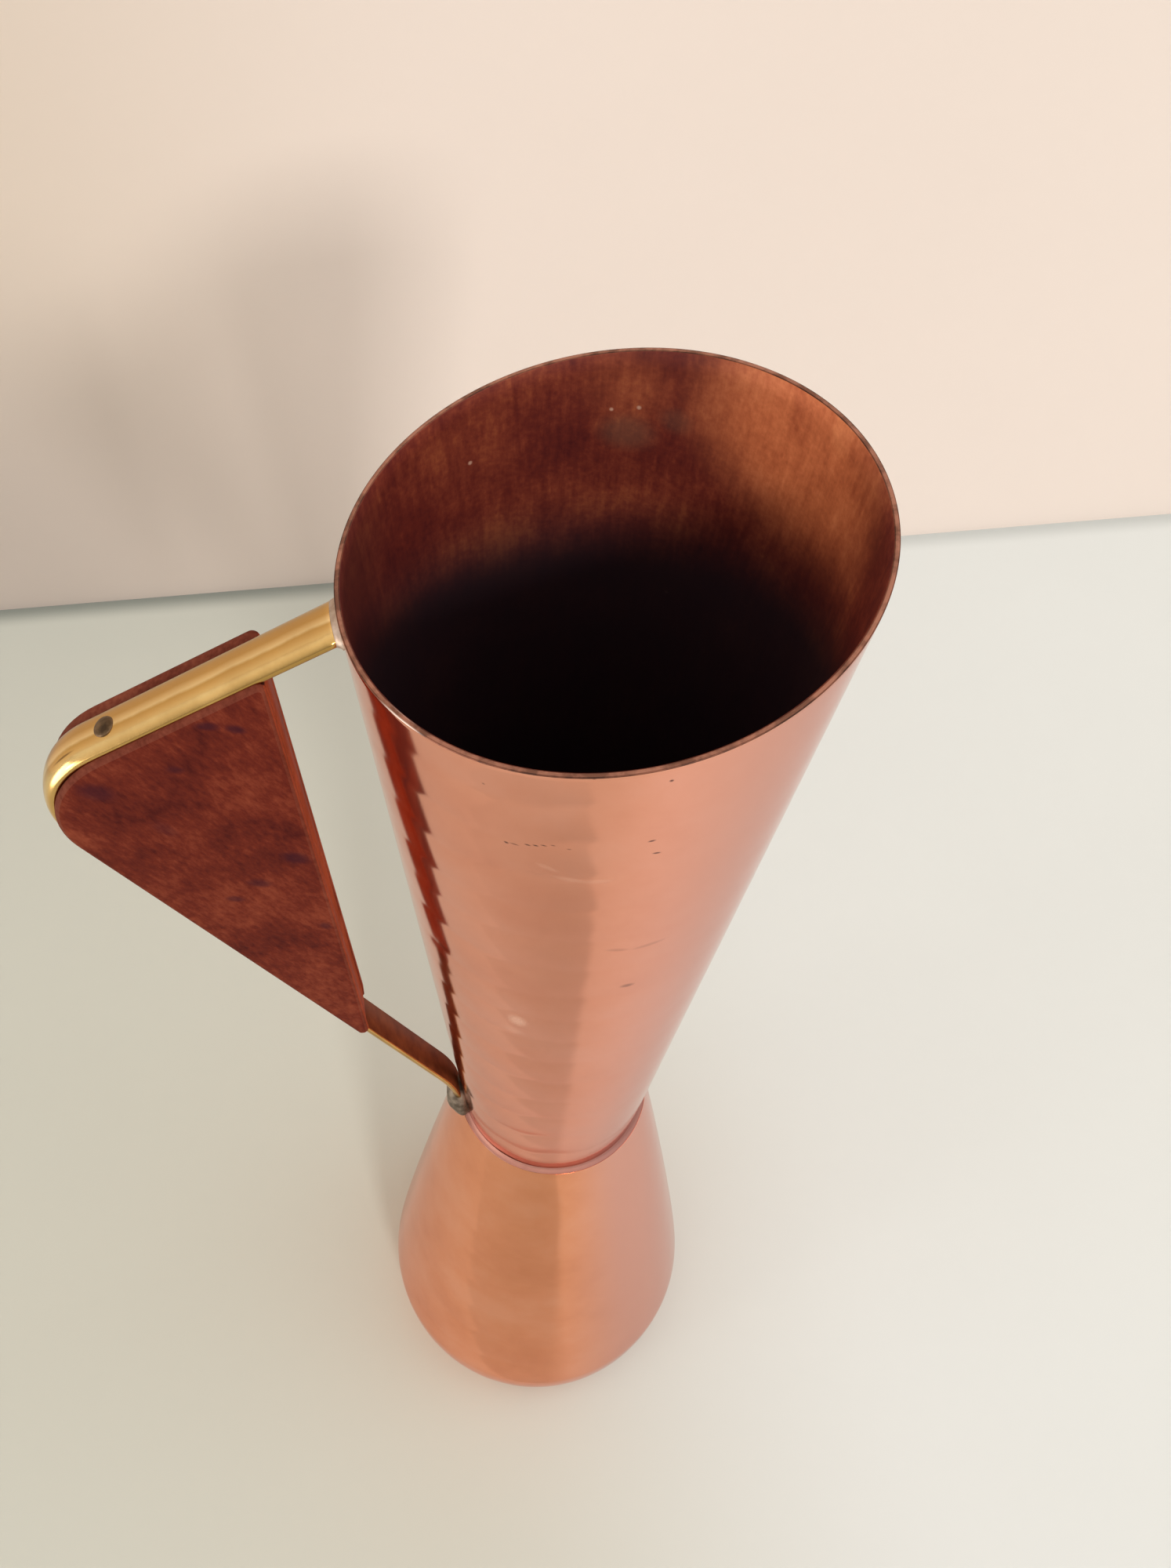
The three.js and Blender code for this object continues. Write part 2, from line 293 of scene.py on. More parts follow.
for way, start, end, least in fades:
    fade = ranged(tree, way, start, end, least)
    strength = add_node(tree, "ShaderNodeMath", {0: strength, 1: fade}, operation="MULTIPLY").outputs[0]
clear = add_node(tree, "ShaderNodeBsdfTransparent").outputs[0]
grey = add_node(tree, "ShaderNodeBsdfDiffuse", {"Color": (0.1, 0.09, 0.07, 1)}).outputs[0]
shade_card_face = add_node(tree, "ShaderNodeMixShader", {0: strength, 1: clear, 2: grey}).outputs[0]
tree.links.new(shade_card_face, output.inputs["Surface"])
bm = bmesh.new()
bmesh.ops.create_grid(bm, x_segments=1, y_segments=1, size=0.07)
bmesh.ops.scale(bm, verts=bm.verts, vec=(1, 1.7, 1))
bmesh.ops.translate(bm, verts=bm.verts, vec=(-0.063, -0.155, 0.001))
shade_card = finished("painted_shade_card", bm, [material], smooth=False)
shade_card.visible_camera = False
shade_card.visible_diffuse = False
shade_card.visible_shadow = False


def soft_lamp(name, azimuth, elevation, distance, size, watts, colour, aim=(0, 0, 0.15)):
    """A square area lamp, placed round the vase by azimuth (0 is in front, 90 at +X) and elevation."""
    lamp = bpy.data.objects.new(name, bpy.data.lights.new(name, "AREA"))
    lamp.data.size = size
    lamp.data.energy = watts
    lamp.data.color = colour
    a, e = math.radians(azimuth), math.radians(elevation)
    towards = Vector((math.sin(a) * math.cos(e), -math.cos(a) * math.cos(e), math.sin(e)))
    lamp.location = Vector(aim) + distance * towards
    lamp.rotation_euler = towards.to_track_quat("Z", "Y").to_euler()
    bpy.context.collection.objects.link(lamp)
    return lamp


soft_lamp("front_lamp", azimuth=6.5, elevation=31, distance=3.2, size=0.42, watts=34, colour=(1, 0.97, 0.93))
soft_lamp("side_lamp", azimuth=80, elevation=55, distance=1.5, size=0.9, watts=3, colour=(0.96, 0.98, 1))
soft_lamp("left_lamp", azimuth=-72, elevation=12, distance=1.4, size=0.22, watts=1.2, colour=(1, 0.98, 0.95))

glint_lamp = soft_lamp(
    "glint_lamp",
    azimuth=-72,
    elevation=-12,
    distance=0.55,
    size=0.5,
    watts=3.2,
    colour=(1, 0.98, 0.94),
    aim=(-0.062, 0, 0.228),
)
glint_lamp.visible_diffuse = False

world = bpy.data.worlds.new("room")
bpy.context.scene.world = world
world.use_nodes = True
sky = world.node_tree
sky.nodes.clear()
heading = add_node(sky, "ShaderNodeTexCoord").outputs["Generated"]
up = add_node(sky, "ShaderNodeSeparateXYZ", {0: heading}).outputs[2]
height = ranged(sky, up, -1, 1, soft=False)
room = [
    (0, (0.6, 0.58, 0.55)),
    (0.5, (0.42, 0.4, 0.38)),
    (0.66, (0.62, 0.6, 0.57)),
    (0.85, (0.98, 0.95, 0.91)),
]
light = grey_to_colour(sky, height, room)
seen = add_node(sky, "ShaderNodeLightPath").outputs["Is Camera Ray"]
backdrop = mixed(sky, seen, light, (0.86, 0.84, 0.81))
glow = add_node(sky, "ShaderNodeBackground", {"Color": backdrop, "Strength": 1})
add_node(sky, "ShaderNodeOutputWorld", {"Surface": glow.outputs[0]})

# Camera
# Held close over the vase in front of it and a little to the left, looking down at its mouth.
camera = bpy.data.objects.new("camera", bpy.data.cameras.new("camera"))
camera.data.sensor_width = 36
camera.data.lens = 34.02
camera.data.clip_start = 5 * mm
camera.location = Vector((-30.985, -107.484, 369.926)) * mm
camera.rotation_euler = [math.radians(turn) for turn in (34.4884, -3.3220, -11.4794)]
bpy.context.collection.objects.link(camera)
bpy.context.scene.camera = camera
bpy.context.scene.view_settings.view_transform = "Standard"

# Lower body
# A flared skirt of copper sheet, hammered to a rounded foot and polished. Its top edge is a narrow ledge
# round the waist, where the upper cone is soldered into it.
sheet = 0.7
gap = 0.3
waist_radius = 16.5
waist_height = 107.8
lap_radius = waist_radius + gap + sheet
shoulder_flare = 0.2
shoulder_length = 30
belly_radius = 33.1
belly_height = 15.3
belly_ease = 4.6
foot_radius = 26.8
flare_steps = 128
foot_steps = 24
around = 288
beside_handle = math.radians(125)
mark_depth = 0.2
mark_depth_by_handle = 0.9


def curve_points(a, b, c, d, steps):
    """Points of a cubic curve from a to d, steered by b and c, without the first."""
    found = []
    for i in range(1, steps + 1):
        t = i / steps
        s = 1 - t
        parts = (s**3, 3 * s * s * t, 3 * s * t * t, t**3)
        found.append(tuple(sum(p * q[k] for p, q in zip(parts, (a, b, c, d))) for k in (0, 1)))
    return found


def spun(profile, steps, ring=False):
    """Turns a line of (radius, height) points in millimetres about the Z axis."""
    bm = bmesh.new()
    verts = [bm.verts.new((r * mm, 0, z * mm)) for r, z in profile]
    ends = zip(verts, verts[1:] + verts[:1]) if ring else zip(verts, verts[1:])
    edges = [bm.edges.new(pair) for pair in ends]
    bmesh.ops.spin(
        bm, geom=verts + edges, cent=(0, 0, 0), axis=(0, 0, 1), angle=math.tau, steps=steps, use_merge=True
    )
    bmesh.ops.recalc_face_normals(bm, faces=bm.faces)
    return bm


def planish(bm, across, along, flat, bulge, seed, skip=None):
    """Hammers the outside in rings. Each ring swells a little to the radius bulge, with a fine groove between
    it and the next. Round the body it is made up of marks that are a part, flat, of a true flat. The grooves
    are deepest in front, beside the handle."""
    chance = random.Random(seed)
    bm.normal_update()
    sizes = sorted({round(v.co.z, 6): v.co.xy.length for v in bm.verts}.items())
    rings = []
    height = sizes[0][0] - along
    while height < sizes[-1][0] + along:
        radius = min(sizes, key=lambda pair: abs(pair[0] - height))[1]
        count = max(6, round(math.tau * radius / across))
        wander = [chance.uniform(-0.16, 0.16) * along for _ in range(count)]
        rings.append((height, chance.random(), wander))
        height += along * chance.uniform(0.86, 1.14)
    heights = [ring[0] for ring in rings]
    for v in bm.verts:
        if skip and skip(v.co):
            continue
        radius = v.co.xy.length
        turn = math.atan2(v.co.y, v.co.x) / math.tau
        above = bisect.bisect(heights, v.co.z)
        drop = -1
        for height, start, wander in rings[max(0, above - 2):above + 2]:
            place_round = (turn - start) * len(wander) % len(wander)
            one = int(place_round) % len(wander)
            share = place_round - int(place_round)
            ease = share * share * (3 - 2 * share)
            rise = wander[one] * (1 - ease) + wander[(one + 1) % len(wander)] * ease
            chord = math.tau * radius / len(wander)
            facet = flat * chord * chord * (min(share, 1 - share) ** 2 - 0.25) / (2 * radius)
            swell = -((v.co.z - height - rise) ** 2) / (2 * bulge)
            drop = max(drop, facet + swell)
        near_handle = max(0, math.cos(math.tau * turn + beside_handle)) ** 8
        v.co += v.normal * drop * (mark_depth + mark_depth_by_handle * near_handle)


foot_line = [(lap_radius, waist_height)]
foot_line += curve_points(
    foot_line[0],
    (lap_radius + shoulder_flare * shoulder_length, waist_height - shoulder_length),
    (belly_radius, belly_height + belly_ease),
    (belly_radius, belly_height),
    steps=flare_steps,
)
for i in range(1, foot_steps + 1):
    turn = math.radians(90 * i / foot_steps)
    reach = foot_radius + (belly_radius - foot_radius) * math.cos(turn)
    foot_line.append((reach, belly_height * (1 - math.sin(turn))))


def copper_outside(name, tones, roughness, painted_shade_tone=(0.78, 0.4, 0.31), dark_marks=(), pale_marks=()):
    """Polished copper with a mottled bloom of tarnish. It is painted duller on the +X side, away from the
    handle: painted shade that tones down its reflections there.
    """
    material, tree, output = new_material(name)
    place = add_node(tree, "ShaderNodeTexCoord").outputs["Object"]
    bloom = clouded(tree, place, 38, 1.6)
    colour = grey_to_colour(tree, bloom, tones)
    # Painted shade: the +X side is toned duller, dimming its reflections.
    facing = add_node(tree, "ShaderNodeVectorMath", {0: place, 1: (1, 1, 0)}, operation="MULTIPLY")
    facing = add_node(tree, "ShaderNodeVectorMath", {0: facing.outputs[0]}, operation="NORMALIZE")
    sides = {0: facing.outputs[0], 1: (0.97, 0.24, 0)}
    away = add_node(tree, "ShaderNodeVectorMath", sides, operation="DOT_PRODUCT")
    colour = mixed(tree, ranged(tree, away.outputs["Value"], -0.35, 0.3), colour, painted_shade_tone)
    if dark_marks:
        colour = mixed(tree, marked(tree, place, dark_marks), colour, (0.2, 0.09, 0.075))
    if pale_marks:
        pale_mask = marked(tree, place, pale_marks)
        colour = mixed(tree, pale_mask, colour, (1, 0.66, 0.5))
    speck = add_node(tree, "ShaderNodeTexNoise", {"Vector": place, "Scale": 2600, "Detail": 2})
    metal = add_node(
        tree,
        "ShaderNodeBsdfPrincipled",
        {
            "Base Color": colour,
            "Metallic": 1,
            "Roughness": ranged(tree, bloom, 0, 1, roughness + 0.04, roughness, soft=False),
            "Specular Tint": (0.88, 0.77, 0.76, 1),
            "Normal": bumped(tree, speck.outputs["Fac"], 0.06, 0.02),
        },
    )
    if pale_marks:
        bare = add_node(tree, "ShaderNodeMath", {0: 1, 1: pale_mask}, operation="SUBTRACT").outputs[0]
        tree.links.new(bare, metal.inputs["Metallic"])
    tree.links.new(metal.outputs[0], output.inputs["Surface"])
    return material


lower_tones = [(0.3, (0.87, 0.35, 0.185)), (0.5, (0.95, 0.4, 0.22)), (0.7, (0.99, 0.45, 0.27))]
bm = spun(foot_line, around)
planish(
    bm,
    across=8 * mm,
    along=10 * mm,
    flat=0.12,
    bulge=260 * mm,
    seed=3,
    skip=lambda co: co.z < 0.4 * mm,
)
for edge in bm.edges:
    edge.smooth = not edge.is_boundary
lower_copper = copper_outside("copper_lower", lower_tones, roughness=0.11)
foot_body = finished("foot_body_sheet", bm, [lower_copper])
wall_sheet = foot_body.modifiers.new("wall", "SOLIDIFY")
wall_sheet.thickness = sheet * mm
wall_sheet.offset = -1
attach(foot_body, "root")
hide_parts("foot_body")

# Upper cone
# Rolled from copper sheet, its mouth cut off at a slant and filed flat. The outside is planished and
# polished, the inside was never polished and has gone dark brown.
mouth_radius = 30
mouth_height = 253.7
mouth_slope = math.tan(math.radians(11.1))
lap_depth = 5
lip_round = 0.15
lip_burr = 0.3 * lip_round
inner_burr = 0.07
inner_round = 0.18
taper = (mouth_radius - waist_radius) / (mouth_height - waist_height)


def cone_radius(height):
    """The straight cone's outside radius at a height, both in millimetres."""
    return waist_radius + taper * (height - waist_height)


def cut_at_slant(bm):
    """Draws the straight cone's top out along its generators to the slanted plane of the mouth."""
    for v in bm.verts:
        radius = v.co.xy.length
        share = max(0, (v.co.z - waist_height * mm) / ((mouth_height - waist_height) * mm))
        turn = v.co.x / radius
        at_mouth = radius + taper * (mouth_height * mm - v.co.z)
        rise = share * mouth_slope * turn * at_mouth / (1 - mouth_slope * taper * turn)
        grow = (radius + taper * rise) / radius
        v.co = Vector((v.co.x * grow, v.co.y * grow, v.co.z + rise))


cone_end = waist_height - lap_depth
rows = 212
outer_line = []
for i in range(rows + 1):
    height = cone_end + (mouth_height - lip_round - cone_end) * i / rows
    outer_line.append((cone_radius(height), height))
lip = [
    (cone_radius(mouth_height) - lip_burr, mouth_height - lip_burr),
    (cone_radius(mouth_height) - lip_round, mouth_height),
    (cone_radius(mouth_height) - sheet + inner_round, mouth_height),
    (cone_radius(mouth_height) - sheet + inner_burr, mouth_height - inner_burr),
]
inner_rows = 60
inner_line = []
for i in range(inner_rows, -1, -1):
    height = cone_end + (mouth_height - lip_round - cone_end) * i / inner_rows
    inner_line.append((cone_radius(height) - sheet, height))


def filed_edge(name, tones, bare=()):
    """The bare edge of the sheet, filed flat and gone brown. The marks given as bare are a painted highlight,
    pale where light catches the edge.
    """
    material, tree, output = new_material(name)
    place = add_node(tree, "ShaderNodeTexCoord").outputs["Object"]
    colour = grey_to_colour(tree, clouded(tree, place, 350, 2.5), tones)
    # Painted highlight: where the marks are, the edge is painted pale.
    if bare:
        colour = mixed(tree, marked(tree, place, bare), colour, (1, 0.78, 0.68))
    inputs = {"Base Color": colour, "Metallic": 0.7, "Roughness": 0.42}
    metal = add_node(tree, "ShaderNodeBsdfPrincipled", inputs)
    tree.links.new(metal.outputs[0], output.inputs["Surface"])
    return material


def copper_inside(name):
    """Bare copper that has oxidised to a deep red brown, with faint streaks running down the cone. Light and
    shade are painted on it: a painted pool of light on the far wall at one side of the mouth, painted shade
    on the left side, and a painted shadow of the front rim, nearly black, further down."""
    material, tree, output = new_material(name)
    place = add_node(tree, "ShaderNodeTexCoord").outputs["Object"]
    stretched = add_node(tree, "ShaderNodeMapping", {"Vector": place, "Scale": (1, 1, 0.12)}).outputs[0]
    streak = clouded(tree, stretched, 900, 2.6)
    cloud = clouded(tree, place, 80, 2.6)
    fine = clouded(tree, place, 1300, 2.4)
    blend = add_node(tree, "ShaderNodeMix", {0: 0.32, 2: cloud, 3: streak}).outputs[0]
    blend = add_node(tree, "ShaderNodeMix", {0: 0.22, 2: blend, 3: fine}).outputs[0]
    dark = [
        (0.15, (0.08, 0.01, 0.01)),
        (0.42, (0.14, 0.02, 0.013)),
        (0.62, (0.21, 0.037, 0.019)),
        (0.85, (0.32, 0.075, 0.03)),
    ]
    # Painted light: the front lamp's light on the far wall, at one side of the mouth.
    painted_lit_tones = [(0.15, (0.4, 0.085, 0.03)), (0.5, (0.64, 0.17, 0.062)), (0.85, (0.85, 0.28, 0.11))]
    painted_light_patch = [((27, 12, 252), (0, 0, 24), (15, 22, 17), 1), ((9, 28, 251), (0, 0, 73), (9, 8, 8), 0.15)]
    painted_light_mask = marked(tree, place, painted_light_patch)
    colour = mixed(tree, painted_light_mask, grey_to_colour(tree, blend, dark), grey_to_colour(tree, blend, painted_lit_tones))
    green_film = [
        ((9, 27, 244), (0, 0, 72), (6, 5, 3.5), 0.32),
        ((14, 24, 247), (0, 0, 60), (6, 3, 2.5), 0.22),
    ]
    colour = mixed(tree, marked(tree, place, green_film), colour, (0.12, 0.085, 0.055))
    # Painted shade on the left side of the inside.
    painted_side_shade = [((-28, 4, 240), (0, 0, 0), (12, 26, 18), 0.7)]
    colour = mixed(tree, marked(tree, place, painted_side_shade), colour, (0.06, 0.012, 0.012))
    dots = [
        ((7, 27.8, 247.1), 0.35),
        ((10.2, 26.9, 247.8), 0.4),
        ((-10.7, 26.1, 242.2), 0.4),
        ((15.3, 21.3, 219.8), 0.35),
    ]
    specks = [(at, (0, 0, 0), (r, r, r), 0.8) for at, r in dots]
    colour = mixed(tree, marked(tree, place, specks), colour, (0.6, 0.35, 0.25))
    # Painted shadow: below a slanted line that follows the front rim's shadow, the inside goes nearly black.
    height = add_node(tree, "ShaderNodeVectorMath", {0: place, 1: (-0.03, 0.32, 1)}, operation="DOT_PRODUCT")
    deep = ranged(tree, height.outputs["Value"], 0.245, 0.229, most=0.95)
    colour = mixed(tree, deep, colour, (0.022, 0.012, 0.016))
    metal = add_node(
        tree,
        "ShaderNodeBsdfPrincipled",
        {
            "Base Color": colour,
            "Metallic": 0.1,
            "Roughness": 0.55,
            "Specular IOR Level": 0.2,
            "Normal": bumped(tree, blend, 0.3, 0.06),
        },
    )
    tree.links.new(metal.outputs[0], output.inputs["Surface"])
    return material


def on_front(angle, height, across, up, strength, tilt=0):
    """A mark on the cone's outside: its angle in degrees, where -90 is in front, and its height."""
    radius = cone_radius(height)
    a = math.radians(angle)
    return (radius * math.cos(a), radius * math.sin(a), height), (tilt, 0, angle), (1.5, across, up), strength


scratches = [
    on_front(-121.5, 234.9, 0.4, 0.3, 0.9),
    on_front(-119.6, 235.1, 0.7, 0.17, 0.8),
    on_front(-116.6, 235.8, 0.5, 0.2, 1),
    on_front(-114.8, 236.1, 0.45, 0.2, 1),
    on_front(-113, 236.5, 0.5, 0.17, 0.9),
    on_front(-111, 236.9, 0.4, 0.16, 0.7),
    on_front(-107.5, 236.6, 0.35, 0.17, 0.6),
    on_front(-90, 238.4, 0.6, 0.26, 1, 15),
    on_front(-88.2, 235.3, 0.65, 0.26, 1, -8),
    on_front(-89.1, 251.2, 0.32, 0.32, 1),
    on_front(-86.2, 196.6, 1.3, 0.75, 0.6),
    on_front(-92, 209.4, 2, 0.6, 0.25, -12),
    on_front(-83, 209.2, 3, 0.6, 0.25, 8),
    on_front(-104, 252.2, 0.3, 0.3, 0.7),
    on_front(-126, 246, 0.25, 0.25, 0.6),
]
pale_spots = [
    on_front(-120.3, 181.4, 1.9, 2.4, 0.35),
    on_front(-121.5, 177, 2.2, 1.8, 0.1),
    on_front(-112, 231.4, 2, 0.7, 0.12, -25),
    on_front(-106.5, 229.2, 2.8, 0.7, 0.12, -8),
    on_front(-100.5, 229.2, 2.4, 0.7, 0.1, 12),
]
lip_painted_highlight = [((-24.8, -16.3, 248.9), (0, 0, -147), (1.2, 4.5, 1.2), 0.6)]
upper_tones = [(0.3, (0.9, 0.385, 0.26)), (0.5, (0.94, 0.42, 0.29)), (0.7, (0.96, 0.45, 0.325))]
bm = spun(outer_line + lip + inner_line, around, ring=True)


def on_inner_wall(co):
    """Whether a place is on the inside of the sheet, where it isn't hammered."""
    return co.xy.length < (cone_radius(co.z / mm) - 0.5 * lip_round) * mm


planish(bm, across=5.6 * mm, along=9 * mm, flat=0.03, bulge=125 * mm, seed=11, skip=on_inner_wall)

# Material 1 is on the inside, 2 on the flat of the lip and 3 on its rounded edges.
for face in bm.faces:
    middle = face.calc_center_median() / mm
    depth_in = cone_radius(middle.z) - middle.xy.length
    if middle.z > mouth_height - lip_round and depth_in < sheet - 0.1:
        face.material_index = 2 if middle.z > mouth_height - 0.02 else 3
    elif depth_in > 0.8 * sheet:
        face.material_index = 1
cut_at_slant(bm)
upper_cone = finished(
    "upper_cone_sheet",
    bm,
    [
        copper_outside("copper_upper", upper_tones, roughness=0.08, dark_marks=scratches, pale_marks=pale_spots),
        copper_inside("copper_oxidised"),
        filed_edge("copper_edge", [(0.3, (0.2, 0.085, 0.055)), (0.7, (0.42, 0.19, 0.13))]),
        filed_edge("copper_edge_brown", [(0.3, (0.07, 0.025, 0.015)), (0.7, (0.2, 0.07, 0.04))], lip_painted_highlight),
    ],
)
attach(upper_cone, "root")
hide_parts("upper_cone")

# Bottom disc and the solder round it
# A flat disc of copper let into the foot, and a run of soft solder round it inside. Both keep their shape
# from the frame.


def soft_solder(name, tones, roughness=0.5):
    """Dull solder, wiped and slightly lumpy."""
    material, tree, output = new_material(name)
    place = add_node(tree, "ShaderNodeTexCoord").outputs["Object"]
    grain = add_node(tree, "ShaderNodeTexNoise", {"Vector": place, "Scale": 900, "Detail": 3})
    colour = grey_to_colour(tree, grain.outputs["Fac"], tones)
    relief = bumped(tree, grain.outputs["Fac"], 0.4, 0.1)
    metal = add_node(
        tree,
        "ShaderNodeBsdfPrincipled",
        {"Base Color": colour, "Metallic": 0.9, "Roughness": roughness, "Normal": relief},
    )
    tree.links.new(metal.outputs[0], output.inputs["Surface"])
    return material


grey_tones = [(0.35, (0.11, 0.083, 0.06)), (0.65, (0.25, 0.2, 0.155))]
grey_solder = soft_solder("grey_solder", grey_tones, roughness=0.68)
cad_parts["base_disc"].data.materials.clear()
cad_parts["base_disc"].data.materials.append(copper_inside("copper_bottom"))
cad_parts["base_solder"].data.materials.clear()
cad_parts["base_solder"].data.materials.append(grey_solder)

# Waist solder
# A fine hollow fillet of solder on the ledge, run all round the seam and wiped with a cloth.
seam_fillet = 0.8
seam_low = waist_height - 0.02
seam_top = seam_low + seam_fillet
fillet_line = [(cone_radius(seam_low) - 0.05, seam_low), (lap_radius - 0.05, seam_low)]
fillet_line += curve_points(
    (lap_radius, seam_low),
    (lap_radius - 0.45, seam_low + 0.12),
    (cone_radius(seam_low) + 0.2, seam_low + 0.4),
    (cone_radius(seam_top) - 0.02, seam_top),
    steps=8,
)
wiped_tones = [(0.3, (0.34, 0.16, 0.13)), (0.6, (0.46, 0.23, 0.18))]
rubbed = copper_outside("solder_rubbed", wiped_tones, roughness=0.62, painted_shade_tone=(0.42, 0.21, 0.18))
waist_solder = finished("waist_solder_ring", spun(fillet_line, 144, ring=True), [rubbed])
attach(waist_solder, "root")
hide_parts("waist_solder")

# Handle strap
# One length of half-round brass, bent cold. It leaves the wall just under the lip, turns round the corner
# of the grip, runs down its outer side and is bent to lie against the wall at the waist.
strap_width = 5.7
strap_root_width = 6.3
strap_thickness = 1.6
strap_edge = 0.5
strap_drop = 2.6
strap_fall = math.radians(28)
corner_reach = 67.3
corner_bend = 10
landing_rise = 11.3
landing_bend = 35

lip_radius = mouth_radius / (1 + taper * mouth_slope)
lip_height = mouth_height - lip_radius * mouth_slope
outward = Vector((-math.cos(strap_fall), -math.sin(strap_fall)))
upper_normal = Vector((outward.y, -outward.x))
root = Vector((-lip_radius, lip_height - strap_drop))
corner = root + outward * (corner_reach - lip_radius) / math.cos(strap_fall)
landing = Vector((-(cone_radius(waist_height + landing_rise) + gap), waist_height + landing_rise))
end_height = waist_height + seam_fillet + 2 * gap
strap_end = Vector((-(cone_radius(end_height) + gap), end_height))


def turn_between(before, place, after, radius):
    """The bend that rounds a corner: its setback along each run, its centre and its signed angle."""
    arriving = (place - before).normalized()
    leaving = (after - place).normalized()
    angle = math.atan2(arriving.x * leaving.y - arriving.y * leaving.x, arriving.dot(leaving))
    setback = radius * math.tan(abs(angle) / 2)
    inward = Vector((-arriving.y, arriving.x)) * math.copysign(radius, angle)
    return setback, place - arriving * setback + inward, angle


def draw_out(bm, ring, distance, heading, steps):
    """Extrudes the ring of edges straight on along a heading in the plane of the handle."""
    for _ in range(steps):
        made = bmesh.ops.extrude_edge_only(bm, edges=ring)["geom"]
        moved = [v for v in made if isinstance(v, bmesh.types.BMVert)]
        step = Vector((heading.x, 0, heading.y)) * distance * mm / steps
        bmesh.ops.translate(bm, verts=moved, vec=step)
        ring = [e for e in made if isinstance(e, bmesh.types.BMEdge) and set(moved).issuperset(e.verts)]
    return ring


def bend_round(bm, ring, centre, angle, steps):
    """Extrudes the ring of edges round a bend in the plane of the handle."""
    verts = list({v for e in ring for v in e.verts})
    made = bmesh.ops.spin(
        bm,
        geom=verts + ring,
        cent=(centre.x * mm, 0, centre.y * mm),
        axis=(0, -1, 0),
        angle=angle,
        steps=steps,
        use_merge=False,
    )["geom_last"]
    return [e for e in made if isinstance(e, bmesh.types.BMEdge)]


def along_strap(bm, section):
    """Sweeps a closed section along the strap. A section's x is across the strap, and y is out from its flat
    face. Both ends are closed."""
    verts = []
    for x, y in section:
        at = (root.x + upper_normal.x * y, x, root.y + upper_normal.y * y)
        verts.append(bm.verts.new([length * mm for length in at]))
    ring = [bm.edges.new(pair) for pair in zip(verts, verts[1:] + verts[:1])]
    first = list(ring)
    setback, centre, angle = turn_between(root, corner, landing, corner_bend)
    down = (landing - corner).normalized()
    home = (strap_end - landing).normalized()
    ring = draw_out(bm, ring, (corner - root).length - setback, outward, steps=30)
    ring = bend_round(bm, ring, centre, angle, steps=20)
    last_setback, last_centre, last_angle = turn_between(corner, landing, strap_end, landing_bend)
    ring = draw_out(bm, ring, (landing - corner).length - setback - last_setback, down, steps=60)
    ring = bend_round(bm, ring, last_centre, last_angle, steps=10)
    ring = draw_out(bm, ring, (strap_end - landing).length - last_setback, home, steps=2)
    bmesh.ops.contextual_create(bm, geom=first)
    bmesh.ops.contextual_create(bm, geom=ring)
    bmesh.ops.recalc_face_normals(bm, faces=bm.faces)


def domed_section(half, edge, thickness, soft, steps):
    """Half-round bar: a flat face with softened corners, short upright sides and a domed top."""
    points = [(-half + soft, 0), (half - soft, 0), (half, soft)]
    for i in range(steps + 1):
        angle = math.pi * i / steps
        points.append((half * math.cos(angle), edge + (thickness - edge) * math.sin(angle)))
    points.append((-half, soft))
    return points


def brass_with_painted_highlights(name):
    """Drawn brass bar with a cloudy tarnish. Lengthways stripes of painted highlight and painted reflection
    run across its width, and a dark painted reflection lies on the bend round the corner."""
    material, tree, output = new_material(name)
    place = add_node(tree, "ShaderNodeTexCoord").outputs["Object"]
    cloud = clouded(tree, place, 140, 2.2)
    waver = add_node(tree, "ShaderNodeMath", {0: cloud, 1: 0.4 * mm}, operation="MULTIPLY").outputs[0]
    y = add_node(tree, "ShaderNodeSeparateXYZ", {0: place}).outputs[1]
    y = add_node(tree, "ShaderNodeMath", {0: y, 1: waver}, operation="ADD").outputs[0]
    half = strap_root_width / 2 * mm
    # Painted highlights and reflections: lighter and darker stripes across the strap's width.
    painted_highlight_bands = [
        (0.02, (0.5, 0.3, 0.08)),
        (0.14, (0.84, 0.53, 0.19)),
        (0.25, (0.96, 0.68, 0.29)),
        (0.36, (0.8, 0.5, 0.18)),
        (0.43, (0.7, 0.43, 0.14)),
        (0.49, (1, 0.76, 0.4)),
        (0.57, (0.88, 0.6, 0.27)),
        (0.66, (0.66, 0.39, 0.13)),
        (0.8, (0.62, 0.36, 0.12)),
        (0.97, (0.45, 0.34, 0.18)),
    ]
    colour = grey_to_colour(tree, ranged(tree, y, -half, half, soft=False), painted_highlight_bands)
    colour = mixed(tree, ranged(tree, cloud, 0, 1, 0.4, 0, soft=False), colour, (0.42, 0.24, 0.08))
    # Painted reflection: a dark line on the bend.
    painted_dark_reflection = marked(tree, place, [((-61.9, -1.2, 229.3), (0, -54, 0), (2.6, 0.2, 1), 0.75)])
    colour = mixed(tree, painted_dark_reflection, colour, (0.16, 0.08, 0.03))
    rub = add_node(tree, "ShaderNodeTexNoise", {"Vector": place, "Scale": 1500, "Detail": 3})
    relief = bumped(tree, rub.outputs["Fac"], 0.15, 0.03)
    inputs = {"Base Color": colour, "Metallic": 1, "Roughness": 0.2, "Normal": relief}
    metal = add_node(tree, "ShaderNodeBsdfPrincipled", inputs)
    tree.links.new(metal.outputs[0], output.inputs["Surface"])
    return material


